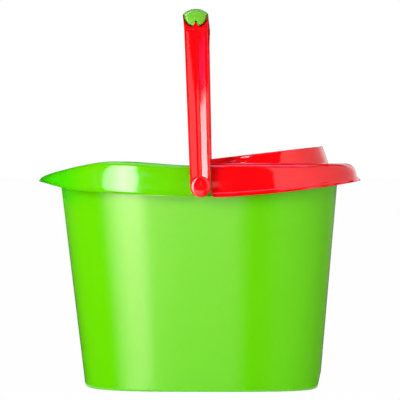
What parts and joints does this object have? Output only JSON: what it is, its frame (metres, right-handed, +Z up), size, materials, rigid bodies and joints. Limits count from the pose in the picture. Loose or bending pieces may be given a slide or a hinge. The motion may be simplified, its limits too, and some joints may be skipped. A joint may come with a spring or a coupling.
{
  "type": "mop bucket with wringer",
  "caption": "Rounded rectangular mop bucket with a pouring lip, a lift-off wringer over half of its mouth and a swinging bail handle with a grip insert.",
  "frame": {"origin": "on the ground, under the middle of the whole object's box", "axes": "+Z up, +X towards the wringer end, -X towards the pouring lip, Y along the bail's pivot line, with -Y the pictured side"},
  "size_m": [0.3782, 0.2846, 0.434],
  "materials": {
    "green_plastic": "glossy moulded polypropylene, lime green",
    "red_plastic": "glossy moulded polypropylene, red"
  },
  "bodies": {
    "bucket": {"bucket_body": "green_plastic", "pivot_pin_front": "red_plastic", "pivot_pin_back": "red_plastic"},
    "wringer_unit": {"wringer": "red_plastic"},
    "bail": {"bail_handle": "red_plastic", "handle_grip": "green_plastic"}
  },
  "joints": [
    {"name": "bail_swing", "type": "hinge", "parent": "bucket", "child": "bail", "pos_m": [0.0028, 0, 0.2354], "axis": [0, -1, 0], "range_deg": [0, 80]},
    {"name": "wringer_lift", "type": "slide", "parent": "bucket", "child": "wringer_unit", "axis": [0, 0, 1], "range_m": [0, 0.12]}
  ]
}
